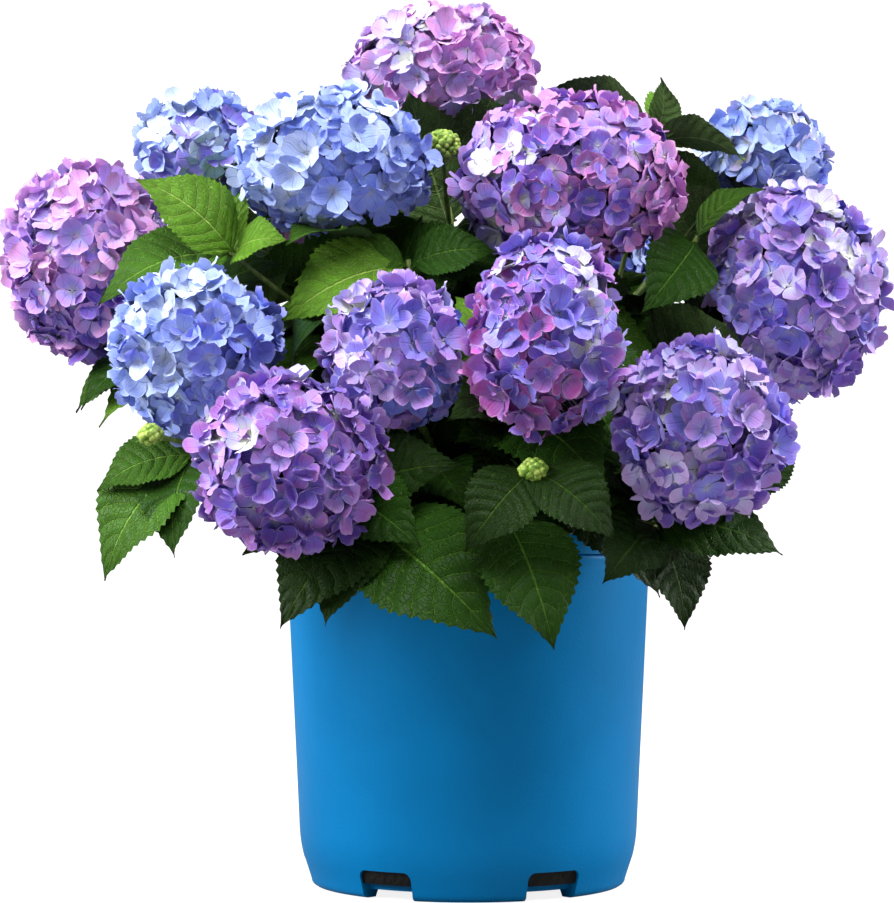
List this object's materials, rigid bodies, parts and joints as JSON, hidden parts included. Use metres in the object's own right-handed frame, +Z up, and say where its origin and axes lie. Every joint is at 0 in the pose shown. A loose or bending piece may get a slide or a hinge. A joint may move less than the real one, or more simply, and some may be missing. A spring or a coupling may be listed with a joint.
{
  "type": "potted mophead hydrangea shrub",
  "caption": "Rounded mophead hydrangea shrub in full bloom, blue, violet and pink flower heads over broad green leaves, in a plain blue plastic nursery pot.",
  "frame": {"origin": "middle of the whole plant's footprint, on the surface that the pot stands on", "axes": "+Z up along the pot's axis, -Y towards the side that the raised lip of the pot's rim faces, +X to the right seen from there"},
  "size_m": [0.5724, 0.4914, 0.5838],
  "materials": {
    "pot_plastic": "satin moulded plastic, bright blue",
    "potting_mix": "moist bark and peat potting mix",
    "cane_bark": "pale brown bark with pores",
    "leaf": "broad toothed leaf, satin green with pale veins",
    "sepal_blue": "soft matt sepals, light blue",
    "sepal_violet": "soft matt sepals, violet",
    "sepal_pink": "soft matt sepals, pink lilac"
  },
  "bodies": {
    "root": {"pot": "pot_plastic", "soil": "potting_mix", "root_crown": "cane_bark", "cane_far_left": "cane_bark", "cane_upper_left": "cane_bark", "cane_blue_top": "cane_bark", "cane_crown_pink": "cane_bark", "cane_rose_right": "cane_bark", "cane_upper_right": "cane_bark", "cane_far_right": "cane_bark", "cane_left_blue": "cane_bark", "cane_centre_lilac": "cane_bark", "cane_centre_violet": "cane_bark", "cane_low_left": "cane_bark", "cane_low_right": "cane_bark", "cane_rear_left": "cane_bark", "cane_rear_middle": "cane_bark", "cane_rear_right": "cane_bark", "cane_rear_upper_left": "cane_bark", "cane_rear_upper_right": "cane_bark", "flower_head_far_left": "sepal_pink", "flower_head_upper_left": "sepal_violet", "flower_head_blue_top": "sepal_blue", "flower_head_crown_pink": "sepal_pink", "flower_head_rose_right": "sepal_pink", "flower_head_upper_right": "sepal_blue", "flower_head_far_right": "sepal_violet", "flower_head_left_blue": "sepal_blue", "flower_head_centre_lilac": "sepal_violet", "flower_head_centre_violet": "sepal_pink", "flower_head_low_left": "sepal_violet", "flower_head_low_right": "sepal_violet", "flower_head_rear_left": "sepal_blue", "flower_head_rear_middle": "sepal_violet", "flower_head_rear_right": "sepal_pink", "flower_head_rear_upper_left": "sepal_pink", "flower_head_rear_upper_right": "sepal_blue", "leafy_shoot_far_left": "leaf", "leafy_shoot_upper_left": "leaf", "leafy_shoot_blue_top": "leaf", "leafy_shoot_crown_pink": "leaf", "leafy_shoot_rose_right": "leaf", "leafy_shoot_upper_right": "leaf", "leafy_shoot_far_right": "leaf", "leafy_shoot_left_blue": "leaf", "leafy_shoot_centre_lilac": "leaf", "leafy_shoot_centre_violet": "leaf", "leafy_shoot_low_left": "leaf", "leafy_shoot_low_right": "leaf", "leafy_shoot_rear_left": "leaf", "leafy_shoot_rear_middle": "leaf", "leafy_shoot_rear_right": "leaf", "leafy_shoot_rear_upper_left": "leaf", "leafy_shoot_rear_upper_right": "leaf"}
  },
  "joints": []
}
